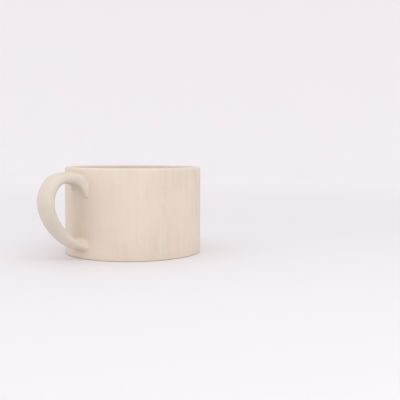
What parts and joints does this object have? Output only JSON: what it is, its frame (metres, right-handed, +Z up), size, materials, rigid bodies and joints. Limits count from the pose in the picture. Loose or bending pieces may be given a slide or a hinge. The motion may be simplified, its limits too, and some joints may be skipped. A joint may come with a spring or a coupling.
{
  "type": "ceramic mug",
  "caption": "Low, wide, straight-sided unglazed ceramic mug with a rounded lip, flat foot and bent strap handle.",
  "frame": {"origin": "centre of the foot, on the surface that the mug stands on", "axes": "+Z up along the cup's axis; the handle stands out along -X; Y runs across the handle"},
  "size_m": [0.1239, 0.095, 0.06],
  "materials": {
    "bisque": "matte, unglazed"
  },
  "bodies": {
    "root": {"cup_wall": "bisque", "cup_floor": "bisque", "corner_coil": "bisque", "handle_strap": "bisque", "upper_handle_joint": "bisque", "lower_handle_joint": "bisque"}
  },
  "joints": []
}
